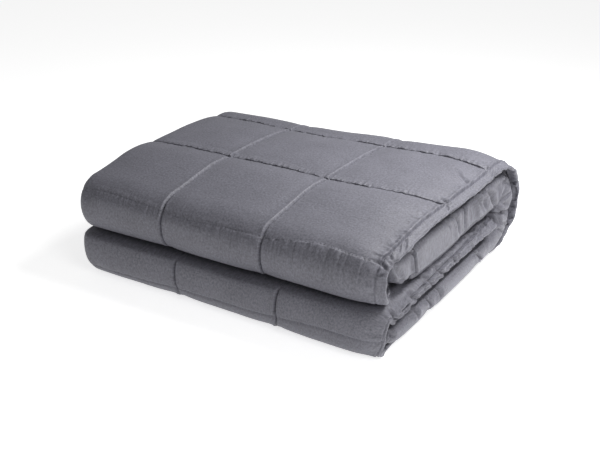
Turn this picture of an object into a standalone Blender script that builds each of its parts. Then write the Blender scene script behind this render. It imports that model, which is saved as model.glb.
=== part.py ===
"""Folded weighted blanket: one quilted cloth, lying in the folds of a shelf pack.

The cloth is folded in thirds across its width (X) into a strip of three
layers, and the strip is folded four deep along its length (Y): its two ends
lie hidden in the middle, one front turn over the other, and one big turn
wraps round the back.

Metres, +Z up.  The origin is at the middle of the footprint, on the surface
that the blanket lies on.  -Y is the front with the two rolled turns, +X is
the end where the layers' edges show.
"""
import bpy
import bmesh
import numpy as np

# ---------------------------------------------------------------- cloth
SQUARE = 0.1325           # side of one quilted square
HEM = 0.01375             # from the outer row of stitches to the cut edge
SQUARES_ACROSS = 9
CLOTH_WIDTH = SQUARES_ACROSS * SQUARE + 2 * HEM      # 1.22 m
SEAM_FILL = 0.30          # thickness on a seam, as a share of the full layer
EDGE_FILL = 0.42          # thickness of the hem flange, as a share
TURN_FILL = 0.86          # thickness where the cloth bends back on itself
FULL_FILL = 0.93          # thickness in the middle of a square

# ---------------------------------------------------------------- pack
PACK_FRONT = -0.1400      # middle of the upper front turn, along Y
PACK_FRONT_LOW = -0.1440  # middle of the lower front turn
PACK_BACK = 0.1075        # middle of the back turn
TUCK_UPPER = 0.101        # where the cloth's two ends stop, inside the back turn
TUCK_LOWER = 0.107
LAYER_LOW = 0.0103        # pitch of the layers, lower bundle (pressed flatter)
LAYER_HIGH = 0.0114       # pitch of the layers, upper bundle
FLOOR_PRESS = 0.0013      # how far the bottom squares would reach below Z = 0

Z_BOTTOM = 1.465 * LAYER_LOW - FLOOR_PRESS           # middle of the bottom strip
Z_LOWER = Z_BOTTOM + 3.05 * LAYER_LOW                # strip at the crevice, below
Z_UPPER = Z_LOWER + 1.53 * (LAYER_LOW + LAYER_HIGH)  # strip at the crevice, above
Z_TOP = Z_UPPER + 3.05 * LAYER_HIGH                  # top strip
Z_CREVICE = 0.5 * (Z_LOWER + Z_UPPER)
MIDDLE_X, MIDDLE_Y = 0.0007, -0.0033      # middle of the footprint, put at the origin

# The run of the strip, from the end tucked in the upper bundle to the end
# tucked in the lower one.  A run goes from y0 to y1 at height z; a turn goes
# half a circle round (y0, middle of its two heights).  side is the way the
# outer layer faces at the start of the section.
STRIP_RUN = (
    # kind,  y0,             y1,             z0,       z1,       side
    ("run",  TUCK_UPPER,     PACK_FRONT,     Z_UPPER,  Z_UPPER,  -1),
    ("turn", PACK_FRONT,     PACK_FRONT,     Z_UPPER,  Z_TOP,    -1),
    ("run",  PACK_FRONT,     PACK_BACK,      Z_TOP,    Z_TOP,    +1),
    ("turn", PACK_BACK,      PACK_BACK,      Z_TOP,    Z_BOTTOM, +1),
    ("run",  PACK_BACK,      PACK_FRONT_LOW, Z_BOTTOM, Z_BOTTOM, -1),
    ("turn", PACK_FRONT_LOW, PACK_FRONT_LOW, Z_BOTTOM, Z_LOWER,  -1),
    ("run",  PACK_FRONT_LOW, TUCK_LOWER,     Z_LOWER,  Z_LOWER,  +1),
)

# How the three layers lie in the strip, along its run.  at is the section
# number and the share of it passed.  hem is the X that the outer layer's hem
# would reach lying flat, bend how many degrees it turns down by its edge and
# reach the length of cloth that bends, slide how far the outer layer's squares
# are pushed towards the hem.  fold is
# the X that the fold between the two inner layers reaches, puff its radius and
# sag how far it hangs.  left is the X of the smooth end, tuck that fold's
# radius, inner the X of the inner hem.
STRIP_SECTION = (
    # at,  pitch,      hem,    bend, reach, slide, fold,  puff,   sag,    left,   tuck,   inner
    (0.00, LAYER_HIGH, 0.154,  -6,   0.044, 0.000, 0.116, 0.0058, 0.0000, -0.196, 0.0114, -0.130),
    (0.45, LAYER_HIGH, 0.154,  -6,   0.044, 0.000, 0.116, 0.0058, 0.0000, -0.196, 0.0114, -0.130),
    (0.72, LAYER_HIGH, 0.154,  -4,   0.044, 0.000, 0.116, 0.0058, 0.0000, -0.196, 0.0114, -0.130),
    (0.86, LAYER_HIGH, 0.160,  0,    0.044, 0.000, 0.118, 0.0058, 0.0000, -0.196, 0.0114, -0.130),
    (0.93, LAYER_HIGH, 0.180,  -4,   0.044, 0.000, 0.121, 0.0058, 0.0000, -0.196, 0.0114, -0.130),
    (0.99, LAYER_HIGH, 0.188,  -6,   0.044, 0.000, 0.124, 0.0058, 0.0000, -0.196, 0.0114, -0.130),
    (1.08, LAYER_HIGH, 0.194,  2,    0.040, 0.000, 0.132, 0.0057, 0.0004, -0.196, 0.0114, -0.130),
    (1.22, LAYER_HIGH, 0.198,  14,   0.034, 0.000, 0.150, 0.0056, 0.0006, -0.196, 0.0114, -0.130),
    (1.55, LAYER_HIGH, 0.199,  34,   0.030, 0.000, 0.180, 0.0056, 0.0000, -0.197, 0.0114, -0.132),
    (1.86, LAYER_HIGH, 0.200,  26,   0.042, 0.000, 0.186, 0.0056, 0.0004, -0.199, 0.0114, -0.134),
    (1.98, LAYER_HIGH, 0.202,  15,   0.062, 0.000, 0.189, 0.0058, 0.0010, -0.200, 0.0114, -0.135),
    (2.05, LAYER_HIGH, 0.202,  11,   0.070, 0.000, 0.193, 0.0135, 0.0070, -0.200, 0.0114, -0.135),
    (2.12, LAYER_HIGH, 0.202,  10,   0.074, 0.000, 0.195, 0.0170, 0.0100, -0.200, 0.0114, -0.136),
    (2.24, LAYER_HIGH, 0.202,  10,   0.078, 0.000, 0.196, 0.0188, 0.0118, -0.201, 0.0114, -0.136),
    (2.45, LAYER_HIGH, 0.202,  11,   0.080, 0.000, 0.196, 0.0188, 0.0120, -0.202, 0.0114, -0.137),
    (2.62, LAYER_HIGH, 0.202,  11,   0.080, 0.000, 0.196, 0.0180, 0.0112, -0.202, 0.0114, -0.137),
    (2.80, LAYER_HIGH, 0.202,  10,   0.080, 0.000, 0.196, 0.0172, 0.0096, -0.202, 0.0114, -0.137),
    (3.00, LAYER_HIGH, 0.202,  9,    0.075, 0.000, 0.197, 0.0182, 0.0060, -0.201, 0.0114, -0.136),
    (3.20, 0.0112,     0.203,  8,    0.065, 0.000, 0.199, 0.0200, 0.0025, -0.200, 0.0112, -0.134),
    (3.40, 0.0110,     0.203,  7,    0.060, 0.001, 0.200, 0.0202, 0.0015, -0.199, 0.0110, -0.133),
    (3.60, 0.0108,     0.201,  7,    0.060, 0.002, 0.199, 0.0185, 0.0015, -0.198, 0.0108, -0.133),
    (3.78, 0.0106,     0.195,  4,    0.060, 0.003, 0.197, 0.0130, 0.0010, -0.197, 0.0106, -0.132),
    (4.00, LAYER_LOW,  0.180,  0,    0.060, 0.005, 0.195, 0.0080, 0.0005, -0.196, 0.0103, -0.132),
    (4.20, LAYER_LOW,  0.182,  0,    0.060, 0.007, 0.198, 0.0088, 0.0010, -0.196, 0.0103, -0.132),
    (4.65, LAYER_LOW,  0.186,  0,    0.060, 0.011, 0.200, 0.0085, 0.0010, -0.195, 0.0103, -0.132),
    (4.90, LAYER_LOW,  0.188,  0,    0.050, 0.014, 0.200, 0.0060, 0.0000, -0.195, 0.0103, -0.132),
    (5.12, LAYER_LOW,  0.194,  6,    0.030, 0.017, 0.190, 0.0052, 0.0000, -0.195, 0.0103, -0.132),
    (5.40, LAYER_LOW,  0.202,  56,   0.028, 0.019, 0.148, 0.0052, 0.0000, -0.195, 0.0103, -0.132),
    (5.75, LAYER_LOW,  0.206,  85,   0.028, 0.019, 0.138, 0.0053, 0.0000, -0.196, 0.0103, -0.132),
    (6.00, LAYER_LOW,  0.211,  112,  0.029, 0.019, 0.136, 0.0053, 0.0000, -0.196, 0.0103, -0.132),
    (6.09, LAYER_LOW,  0.209,  112,  0.025, 0.019, 0.136, 0.0053, 0.0000, -0.196, 0.0103, -0.132),
    (6.22, LAYER_LOW,  0.205,  112,  0.018, 0.018, 0.137, 0.0053, 0.0000, -0.196, 0.0103, -0.132),
    (6.50, LAYER_LOW,  0.203,  108,  0.014, 0.016, 0.138, 0.0053, 0.0000, -0.196, 0.0103, -0.132),
    (6.75, LAYER_LOW,  0.202,  100,  0.013, 0.014, 0.138, 0.0053, 0.0000, -0.196, 0.0103, -0.132),
    (7.00, LAYER_LOW,  0.201,  80,   0.011, 0.012, 0.138, 0.0053, 0.0000, -0.196, 0.0103, -0.132),
)
(PITCH, HEM_X, BEND, REACH, SLIDE, FOLD_X, PUFF, SAG,
 LEFT_X, TUCK, INNER_X) = range(11)
PUFF_REACH = 0.042        # how far in from a puffed fold its layers part
PUFF_DEPTH = 0.66         # a tall fold is pressed this much flatter in X
TALL_PUFF = 0.0075        # above this radius a fold counts as tall
END_SQUARE = 0.80         # under 1, the smooth end is boxier than a half circle
TALL_SQUARE = 0.60        # the same for a tall fold

# Cross seams, as section number and share of it passed, and how much of the
# fill is left over each: little is lost where a seam is stretched over a turn.
CROSS_SEAMS = (0.171, 0.714, 1.694, 2.419, 2.949, 3.551, 4.127, 4.592, 5.280, 6.269, 6.815)
CROSS_FILLS = (0.000, 0.000, 0.620, 0.000, 0.000, 0.350, 0.000, 0.000, 0.450, 0.000, 0.000)

# Soft unevenness of the whole pack, carried by every layer alike.
SWELLS = (
    # x,      y,       radius, lift
    (0.120,  -0.085,   0.055,  0.0016),
    (-0.010, -0.088,   0.055,  0.0018),
    (-0.140, -0.085,   0.060,  0.0006),
    (0.118,   0.032,   0.052,  0.0018),
    (-0.012,  0.032,   0.052,  0.0024),
    (-0.140,  0.030,   0.055,  0.0008),
    (0.160,   0.130,   0.045,  0.0032),
    (0.056,   0.105,   0.040, -0.0010),
    (-0.020,  0.118,   0.045, -0.0040),
    (-0.085,  0.125,   0.055, -0.0048),
    (-0.190,  0.125,   0.070, -0.0060),
    (-0.200, -0.010,   0.055, -0.0030),
    (-0.200, -0.135,   0.045, -0.0016),
)
FRONT_SINK = 0.150        # how much the upper bundle thins towards its front
FRONT_SINK_FROM, FRONT_SINK_TO = -0.060, -0.155
BACK_LEAN = 0.009         # how much less deep the pack is at its left back
FRONT_LEAN = 0.003        # how much further out the lower front turn is at the right
NOTCH_CLOSE = 0.70        # how far the two front turns sag against each other
NOTCH_REACH = 0.018       # and how far up and down from the notch between them
NOTCH_Z = Z_CREVICE - 0.0025
NOTCH_FROM, NOTCH_TO = -0.136, -0.154


def smooth(t):
    t = np.clip(t, 0.0, 1.0)
    return t * t * (3.0 - 2.0 * t)


def strip_values(at):
    """The strip's measures at a station, eased between the table's rows."""
    rows = np.array(STRIP_SECTION)
    k = int(np.clip(np.searchsorted(rows[:, 0], at, side="right") - 1, 0, len(rows) - 2))
    share = smooth((at - rows[k, 0]) / (rows[k + 1, 0] - rows[k, 0]))
    return rows[k, 1:] * (1.0 - share) + rows[k + 1, 1:] * share


def strip_frame(at):
    """Point on the strip's middle line and the way its outer layer faces."""
    k = min(int(at), len(STRIP_RUN) - 1)
    share = at - k
    kind, y0, y1, z0, z1, side = STRIP_RUN[k]
    if kind == "run":
        return np.array([y0 + (y1 - y0) * share, z0]), np.array([0.0, side])
    bulge = -1.0 if y0 < 0 else 1.0                   # front turns bulge to -Y
    angle = np.pi * share
    facing = np.array([bulge * np.sin(angle), side * np.cos(angle)])
    return np.array([y0, 0.5 * (z0 + z1)]) + 0.5 * abs(z1 - z0) * facing, facing


def section_length(k, pitch):
    """Length of one section, measured on the outer layer."""
    kind, y0, y1, z0, z1, side = STRIP_RUN[k]
    if kind == "run":
        return abs(y1 - y0)
    return np.pi * (0.5 * abs(z1 - z0) + pitch)


def layer_point(values, across):
    """Middle of the cloth in the strip's section, as (x, height in strip).

    across runs 0-1 along the outer layer from its hem, 1-2 round the smooth
    end, 2-3 along the middle layer, 3-4 round the inner fold and 4-5 along
    the inner layer to its hem.
    """
    pitch = values[PITCH]
    half = 0.5 * FULL_FILL * pitch
    left, right, sag = values[TUCK], values[PUFF], values[SAG]
    tall = smooth((right - 0.5 * TALL_PUFF) / TALL_PUFF)
    depth = right * (1.0 - (1.0 - PUFF_DEPTH) * tall)
    left_x = values[LEFT_X] + left + half
    right_x = values[FOLD_X] - depth - half
    part = min(int(across), 4)
    share = across - part
    if part == 0:
        passed = (values[HEM_X] - left_x) * share - 4.0 * values[SLIDE] * share * (1.0 - share)
        bent = max(values[REACH] - passed, 0.0)
        angle = np.radians(values[BEND]) * bent / values[REACH]
        if abs(angle) < 1e-6:
            return values[HEM_X] - passed, pitch
        flat = min(values[HEM_X] - passed, values[HEM_X] - values[REACH])
        return (flat + bent * np.sin(angle) / angle,
                pitch - bent * (1.0 - np.cos(angle)) / angle)
    if part == 1:
        angle = np.pi * (0.5 + share)
        return (left_x - left * abs(np.cos(angle)) ** END_SQUARE,
                pitch - left + left * np.sign(np.sin(angle)) * abs(np.sin(angle)) ** END_SQUARE)
    if part == 2:
        x = left_x + (right_x - left_x) * share
        rise = (pitch - 2 * left) * (1.0 - smooth((x - left_x) / PUFF_REACH))
        return x, rise - sag * smooth(1.0 - (right_x - x) / PUFF_REACH)
    if part == 3:
        angle = np.pi * (0.5 - share)
        square = 1.0 - (1.0 - TALL_SQUARE) * tall
        return (right_x + depth * abs(np.cos(angle)) ** square,
                -sag - right + right * np.sign(np.sin(angle)) * abs(np.sin(angle)) ** square)
    x = right_x + (values[INNER_X] - right_x) * share
    return x, -pitch - (sag + 2 * right - pitch) * smooth(1.0 - (right_x - x) / PUFF_REACH)


def layer_facing(values, across):
    """Way the outer face of the cloth looks, in the strip's section."""
    step = 1e-4
    part = min(int(across), 4)
    a = max(across - step, part)
    b = min(across + step, part + 1)
    (x0, h0), (x1, h1) = layer_point(values, a), layer_point(values, b - 1e-9)
    dx, dh = x1 - x0, h1 - h0
    size = np.hypot(dx, dh)
    return dh / size, -dx / size


def pack_shape(x, y, z):
    """The whole pack's unevenness: it moves every layer alike."""
    lower = z < Z_CREVICE
    sink = FRONT_SINK * smooth((y - FRONT_SINK_FROM) / (FRONT_SINK_TO - FRONT_SINK_FROM))
    if not lower:
        z = Z_CREVICE + (z - Z_CREVICE) * (1.0 - sink)
    gap = z - NOTCH_Z
    press = NOTCH_CLOSE * smooth((NOTCH_FROM - y) / (NOTCH_FROM - NOTCH_TO))
    z = NOTCH_Z + gap * (1.0 - press * np.exp(-(gap / NOTCH_REACH) ** 2))
    lift = 0.0
    for sx, sy, radius, rise in SWELLS:
        lift += rise * np.exp(-((x - sx) ** 2 + (y - sy) ** 2) / radius ** 2)
    z += lift * smooth(z / 0.13)
    y -= BACK_LEAN * smooth((0.06 - x) / 0.26) * smooth((y - 0.04) / 0.12)
    if lower:
        y -= FRONT_LEAN * smooth((x + 0.02) / 0.14) * smooth((-0.10 - y) / 0.05)
    return x - MIDDLE_X, y - MIDDLE_Y, max(z, 0.0)


def crown(share):
    """Fill across one square: none on its seams, full over its middle."""
    return (1.0 - abs(2.0 * share - 1.0) ** 3.0) ** 0.9


# ---------------------------------------------------------------- stations
def across_stations():
    """Stations across the cloth, with the fill at each."""
    run = 0.202 + 0.202 - 0.0167                       # outer layer, hem to smooth end
    first = HEM / run
    square = SQUARE / run
    rows = [(first * share, "hem") for share in (0.0, 0.34, 0.67)] + [(first, 0.0)]
    for k in range(3):
        shares = (0.055, 0.145, 0.5, 0.8) if k == 0 else (0.2, 0.5, 0.8)
        rows += [(first + (k + share) * square, crown(share)) for share in shares]
        if k < 2:
            rows.append((first + (k + 1) * square, 0.0))
    rows += [(1.0 + s / 6.0, "turn") for s in range(0, 7)]
    rows += [(2.12, 0.90), (2.28, 0.0), (2.45, 0.95), (2.62, 0.0), (2.76, 0.85), (2.88, 0.70)]
    rows += [(3.0 + s / 6.0, "turn") for s in range(0, 7)]
    rows += [(4.06, 0.55), (4.13, 0.60), (4.215, 0.0), (4.40, 0.95), (4.59, 0.0), (4.78, 0.95),
             (4.962, 0.0), (5.0, "hem")]
    return rows


def along_stations():
    """Stations along the strip, with the fill at each."""
    stations = {}
    lengths = [section_length(k, LAYER_HIGH if k < 4 else LAYER_LOW) for k in range(7)]
    marks = np.concatenate([[0.0], np.cumsum(lengths)])

    def to_length(at):
        k = min(int(at), 6)
        return marks[k] + (at - k) * lengths[k]

    def to_at(length):
        k = int(np.clip(np.searchsorted(marks, length, side="right") - 1, 0, 6))
        return k + (length - marks[k]) / lengths[k]

    seams = [to_length(at) for at in CROSS_SEAMS]
    edges = [HEM] + seams + [marks[-1] - HEM]
    fills = (0.0,) + CROSS_FILLS + (0.0,)
    wanted = [0.0, marks[-1]] + list(edges)
    for a, b in zip(edges[:-1], edges[1:]):
        hidden = b < marks[1] or marks[4] < a < marks[5]     # tucked in, or underneath
        shares = (0.5,) if b - a < 0.08 else (0.3, 0.7) if hidden else (0.2, 0.5, 0.8)
        wanted += [a + (b - a) * share for share in shares]
    for k, steps in ((1, 8), (3, 8), (5, 7)):
        wanted += [to_length(k + s / steps) for s in range(steps + 1)]
    fixed = set(round(e, 6) for e in edges + [0.0, marks[-1]])
    chosen = []
    for value in sorted(wanted, key=lambda w: (round(w, 6) not in fixed, w)):
        room = 0.0112 if round(value, 6) not in fixed else 0.0005
        if all(abs(value - c) > room for c in chosen):
            chosen.append(value)
    rows = []
    for value in sorted(chosen):
        if value < HEM - 1e-6 or value > marks[-1] - HEM + 1e-6:
            rows.append((to_at(value), EDGE_FILL))
            continue
        k = int(np.clip(np.searchsorted(edges, value, side="right") - 1, 0, len(edges) - 2))
        share = (value - edges[k]) / (edges[k + 1] - edges[k])
        base = fills[k] + (fills[k + 1] - fills[k]) * share
        rows.append((min(to_at(value), 7.0), base + (1.0 - base) * crown(share)))
    rows[0] = (0.0, EDGE_FILL)
    rows[-1] = (7.0, EDGE_FILL)
    return rows


def fill_at(across_fill, along_fill, at_edge):
    """Share of the full layer that the cloth is thick at a station."""
    if at_edge or across_fill == "hem":
        return EDGE_FILL
    if across_fill == "turn":
        return SEAM_FILL + (TURN_FILL - SEAM_FILL) * max(along_fill, 0.0)
    return SEAM_FILL + (FULL_FILL - SEAM_FILL) * across_fill * along_fill


def cloth_corner(at, across, fill, face):
    """One point of the cloth's outer (face +1) or inner (face -1) surface."""
    values = strip_values(at)
    x, height = layer_point(values, across)
    fx, fh = layer_facing(values, across)
    reach = 0.5 * fill * values[PITCH] * face
    x, height = x + fx * reach, height + fh * reach
    middle, facing = strip_frame(at)
    y, z = middle + facing * height
    return pack_shape(x, y, z)


# ---------------------------------------------------------------- build
def clear_scene():
    for item in list(bpy.data.objects):
        bpy.data.objects.remove(item, do_unlink=True)
    for mesh in list(bpy.data.meshes):
        bpy.data.meshes.remove(mesh)


def make_material(name, color, roughness, metallic):
    material = bpy.data.materials.new(name)
    material.use_nodes = True
    shader = material.node_tree.nodes["Principled BSDF"]
    shader.inputs["Base Color"].default_value = (*color, 1.0)
    shader.inputs["Roughness"].default_value = roughness
    shader.inputs["Metallic"].default_value = metallic
    return material


def make_blanket():
    columns = across_stations()
    rows = along_stations()
    sheet = bmesh.new()
    bmesh.ops.create_grid(sheet, x_segments=len(columns) - 1,
                          y_segments=len(rows) - 1, size=1.0)
    # The flat grid's corners, sorted back into station numbers.
    places = {}
    for corner in sheet.verts:
        i = int(round((corner.co.x + 1.0) * 0.5 * (len(columns) - 1)))
        j = int(round((corner.co.y + 1.0) * 0.5 * (len(rows) - 1)))
        places[corner.index] = (i, j)
    sheet.verts.ensure_lookup_table()
    inner = list(sheet.verts)
    grown = bmesh.ops.extrude_face_region(sheet, geom=list(sheet.faces), use_keep_orig=True)
    outer = [item for item in grown["geom"] if isinstance(item, bmesh.types.BMVert)]
    key = {tuple(round(c, 5) for c in v.co): places[v.index] for v in inner}
    for face, corners in ((-1, inner), (+1, outer)):
        for corner in corners:
            i, j = key[tuple(round(c, 5) for c in corner.co)]
            across, across_fill = columns[i]
            at, along_fill = rows[j]
            fill = fill_at(across_fill, along_fill, j in (0, len(rows) - 1))
            corner.tag = True
            corner.co = cloth_corner(at, across, fill, face)
            corner.normal_update()
    bmesh.ops.recalc_face_normals(sheet, faces=sheet.faces)
    if sheet.calc_volume(signed=True) < 0.0:
        bmesh.ops.reverse_faces(sheet, faces=sheet.faces)
    mesh = bpy.data.meshes.new("blanket")
    sheet.to_mesh(mesh)
    sheet.free()
    mesh.shade_smooth()
    blanket = bpy.data.objects.new("blanket", mesh)
    blanket.data.materials.append(make_material("grey_microfibre", (0.108, 0.107, 0.125), 0.85, 0.0))
    return blanket


def main():
    clear_scene()
    collection = bpy.data.collections.new("weighted_blanket")
    bpy.context.scene.collection.children.link(collection)
    collection.objects.link(make_blanket())


main()
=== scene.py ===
"""Looks of the folded weighted blanket: its two faces of cloth and its stitches."""
import math

import bpy
import numpy as np
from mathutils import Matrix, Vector


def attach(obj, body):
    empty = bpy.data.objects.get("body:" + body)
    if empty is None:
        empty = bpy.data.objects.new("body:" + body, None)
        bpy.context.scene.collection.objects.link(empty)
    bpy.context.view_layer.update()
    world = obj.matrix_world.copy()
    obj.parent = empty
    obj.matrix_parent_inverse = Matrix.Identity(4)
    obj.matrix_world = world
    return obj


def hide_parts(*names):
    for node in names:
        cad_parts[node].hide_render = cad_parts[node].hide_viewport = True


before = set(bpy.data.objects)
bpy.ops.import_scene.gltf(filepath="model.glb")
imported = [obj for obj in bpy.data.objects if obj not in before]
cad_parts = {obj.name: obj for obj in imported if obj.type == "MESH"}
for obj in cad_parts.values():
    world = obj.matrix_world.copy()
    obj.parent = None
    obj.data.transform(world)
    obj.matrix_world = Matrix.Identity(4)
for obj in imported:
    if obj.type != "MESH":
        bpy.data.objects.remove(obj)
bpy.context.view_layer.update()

# ------------------------------------------------------------------ the folds
# The same measures as the solid's: how the cloth lies folded.
SQUARE = 0.1325
HEM = 0.01375
SEAM_FILL = 0.30
TURN_FILL = 0.86
FULL_FILL = 0.93
EDGE_FILL = 0.44

PACK_FRONT = -0.1400
PACK_FRONT_LOW = -0.1440
PACK_BACK = 0.1075
TUCK_UPPER = 0.101
TUCK_LOWER = 0.107
LAYER_LOW = 0.0103
LAYER_HIGH = 0.0114
FLOOR_PRESS = 0.0013

Z_BOTTOM = 1.465 * LAYER_LOW - FLOOR_PRESS
Z_LOWER = Z_BOTTOM + 3.05 * LAYER_LOW
Z_UPPER = Z_LOWER + 1.53 * (LAYER_LOW + LAYER_HIGH)
Z_TOP = Z_UPPER + 3.05 * LAYER_HIGH
Z_CREVICE = 0.5 * (Z_LOWER + Z_UPPER)
MIDDLE_X, MIDDLE_Y = 0.0007, -0.0033

RUN, TURN = 0, 1
STRIP_RUN = np.array([
    # kind, y0,             y1,             z0,       z1,       side
    (RUN,  TUCK_UPPER,     PACK_FRONT,     Z_UPPER,  Z_UPPER,  -1),
    (TURN, PACK_FRONT,     PACK_FRONT,     Z_UPPER,  Z_TOP,    -1),
    (RUN,  PACK_FRONT,     PACK_BACK,      Z_TOP,    Z_TOP,    +1),
    (TURN, PACK_BACK,      PACK_BACK,      Z_TOP,    Z_BOTTOM, +1),
    (RUN,  PACK_BACK,      PACK_FRONT_LOW, Z_BOTTOM, Z_BOTTOM, -1),
    (TURN, PACK_FRONT_LOW, PACK_FRONT_LOW, Z_BOTTOM, Z_LOWER,  -1),
    (RUN,  PACK_FRONT_LOW, TUCK_LOWER,     Z_LOWER,  Z_LOWER,  +1),
])

STRIP_SECTION = np.array([
    # at,  pitch,      hem,    bend, reach, slide, fold,  puff,   sag,    left,   tuck,   inner
    (0.00, LAYER_HIGH, 0.154,  -6,   0.044, 0.000, 0.116, 0.0058, 0.0000, -0.196, 0.0114, -0.130),
    (0.45, LAYER_HIGH, 0.154,  -6,   0.044, 0.000, 0.116, 0.0058, 0.0000, -0.196, 0.0114, -0.130),
    (0.72, LAYER_HIGH, 0.154,  -4,   0.044, 0.000, 0.116, 0.0058, 0.0000, -0.196, 0.0114, -0.130),
    (0.86, LAYER_HIGH, 0.160,  0,    0.044, 0.000, 0.118, 0.0058, 0.0000, -0.196, 0.0114, -0.130),
    (0.93, LAYER_HIGH, 0.180,  -4,   0.044, 0.000, 0.121, 0.0058, 0.0000, -0.196, 0.0114, -0.130),
    (0.99, LAYER_HIGH, 0.188,  -6,   0.044, 0.000, 0.124, 0.0058, 0.0000, -0.196, 0.0114, -0.130),
    (1.08, LAYER_HIGH, 0.194,  2,    0.040, 0.000, 0.132, 0.0057, 0.0004, -0.196, 0.0114, -0.130),
    (1.22, LAYER_HIGH, 0.198,  14,   0.034, 0.000, 0.150, 0.0056, 0.0006, -0.196, 0.0114, -0.130),
    (1.55, LAYER_HIGH, 0.199,  34,   0.030, 0.000, 0.180, 0.0056, 0.0000, -0.197, 0.0114, -0.132),
    (1.86, LAYER_HIGH, 0.200,  26,   0.042, 0.000, 0.186, 0.0056, 0.0004, -0.199, 0.0114, -0.134),
    (1.98, LAYER_HIGH, 0.202,  15,   0.062, 0.000, 0.189, 0.0058, 0.0010, -0.200, 0.0114, -0.135),
    (2.05, LAYER_HIGH, 0.202,  11,   0.070, 0.000, 0.193, 0.0135, 0.0070, -0.200, 0.0114, -0.135),
    (2.12, LAYER_HIGH, 0.202,  10,   0.074, 0.000, 0.195, 0.0170, 0.0100, -0.200, 0.0114, -0.136),
    (2.24, LAYER_HIGH, 0.202,  10,   0.078, 0.000, 0.196, 0.0188, 0.0118, -0.201, 0.0114, -0.136),
    (2.45, LAYER_HIGH, 0.202,  11,   0.080, 0.000, 0.196, 0.0188, 0.0120, -0.202, 0.0114, -0.137),
    (2.62, LAYER_HIGH, 0.202,  11,   0.080, 0.000, 0.196, 0.0180, 0.0112, -0.202, 0.0114, -0.137),
    (2.80, LAYER_HIGH, 0.202,  10,   0.080, 0.000, 0.196, 0.0172, 0.0096, -0.202, 0.0114, -0.137),
    (3.00, LAYER_HIGH, 0.202,  9,    0.075, 0.000, 0.197, 0.0182, 0.0060, -0.201, 0.0114, -0.136),
    (3.20, 0.0112,     0.203,  8,    0.065, 0.000, 0.199, 0.0200, 0.0025, -0.200, 0.0112, -0.134),
    (3.40, 0.0110,     0.203,  7,    0.060, 0.001, 0.200, 0.0202, 0.0015, -0.199, 0.0110, -0.133),
    (3.60, 0.0108,     0.201,  7,    0.060, 0.002, 0.199, 0.0185, 0.0015, -0.198, 0.0108, -0.133),
    (3.78, 0.0106,     0.195,  4,    0.060, 0.003, 0.197, 0.0130, 0.0010, -0.197, 0.0106, -0.132),
    (4.00, LAYER_LOW,  0.180,  0,    0.060, 0.005, 0.195, 0.0080, 0.0005, -0.196, 0.0103, -0.132),
    (4.20, LAYER_LOW,  0.182,  0,    0.060, 0.007, 0.198, 0.0088, 0.0010, -0.196, 0.0103, -0.132),
    (4.65, LAYER_LOW,  0.186,  0,    0.060, 0.011, 0.200, 0.0085, 0.0010, -0.195, 0.0103, -0.132),
    (4.90, LAYER_LOW,  0.188,  0,    0.050, 0.014, 0.200, 0.0060, 0.0000, -0.195, 0.0103, -0.132),
    (5.12, LAYER_LOW,  0.194,  6,    0.030, 0.017, 0.190, 0.0052, 0.0000, -0.195, 0.0103, -0.132),
    (5.40, LAYER_LOW,  0.202,  56,   0.028, 0.019, 0.148, 0.0052, 0.0000, -0.195, 0.0103, -0.132),
    (5.75, LAYER_LOW,  0.206,  85,   0.028, 0.019, 0.138, 0.0053, 0.0000, -0.196, 0.0103, -0.132),
    (6.00, LAYER_LOW,  0.211,  112,  0.029, 0.019, 0.136, 0.0053, 0.0000, -0.196, 0.0103, -0.132),
    (6.09, LAYER_LOW,  0.209,  112,  0.025, 0.019, 0.136, 0.0053, 0.0000, -0.196, 0.0103, -0.132),
    (6.22, LAYER_LOW,  0.205,  112,  0.018, 0.018, 0.137, 0.0053, 0.0000, -0.196, 0.0103, -0.132),
    (6.50, LAYER_LOW,  0.203,  108,  0.014, 0.016, 0.138, 0.0053, 0.0000, -0.196, 0.0103, -0.132),
    (6.75, LAYER_LOW,  0.202,  100,  0.013, 0.014, 0.138, 0.0053, 0.0000, -0.196, 0.0103, -0.132),
    (7.00, LAYER_LOW,  0.201,  80,   0.011, 0.012, 0.138, 0.0053, 0.0000, -0.196, 0.0103, -0.132),
])
(PITCH, HEM_X, BEND, REACH, SLIDE, FOLD_X, PUFF, SAG,
 LEFT_X, TUCK, INNER_X) = range(11)
PUFF_REACH = 0.042
PUFF_DEPTH = 0.66
TALL_PUFF = 0.0075
END_SQUARE = 0.80
TALL_SQUARE = 0.60

CROSS_SEAMS = (0.171, 0.714, 1.694, 2.419, 2.949, 3.551, 4.127, 4.592, 5.280, 6.269, 6.815)
CROSS_FILLS = (0.000, 0.000, 0.620, 0.000, 0.000, 0.350, 0.000, 0.000, 0.450, 0.000, 0.000)
SWELLS = (
    # x,      y,       radius, lift
    (0.120,  -0.085,   0.055,  0.0016),
    (-0.010, -0.088,   0.055,  0.0018),
    (-0.140, -0.085,   0.060,  0.0006),
    (0.118,   0.032,   0.052,  0.0018),
    (-0.012,  0.032,   0.052,  0.0024),
    (-0.140,  0.030,   0.055,  0.0008),
    (0.160,   0.130,   0.045,  0.0032),
    (0.056,   0.105,   0.040, -0.0010),
    (-0.020,  0.118,   0.045, -0.0040),
    (-0.085,  0.125,   0.055, -0.0048),
    (-0.190,  0.125,   0.070, -0.0060),
    (-0.200, -0.010,   0.055, -0.0030),
    (-0.200, -0.135,   0.045, -0.0016),
)
FRONT_SINK = 0.150
FRONT_SINK_FROM, FRONT_SINK_TO = -0.060, -0.155
BACK_LEAN = 0.009
FRONT_LEAN = 0.003
NOTCH_CLOSE = 0.86                                      # the cloth's faces meet here
NOTCH_DROP = 0.0035
NOTCH_REACH = 0.022
SLOT_DEPTH, SLOT_HALF, SLOT_DOWN = 0.018, 0.0019, 0.0004
NOTCH_Z = Z_CREVICE - 0.0025
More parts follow.
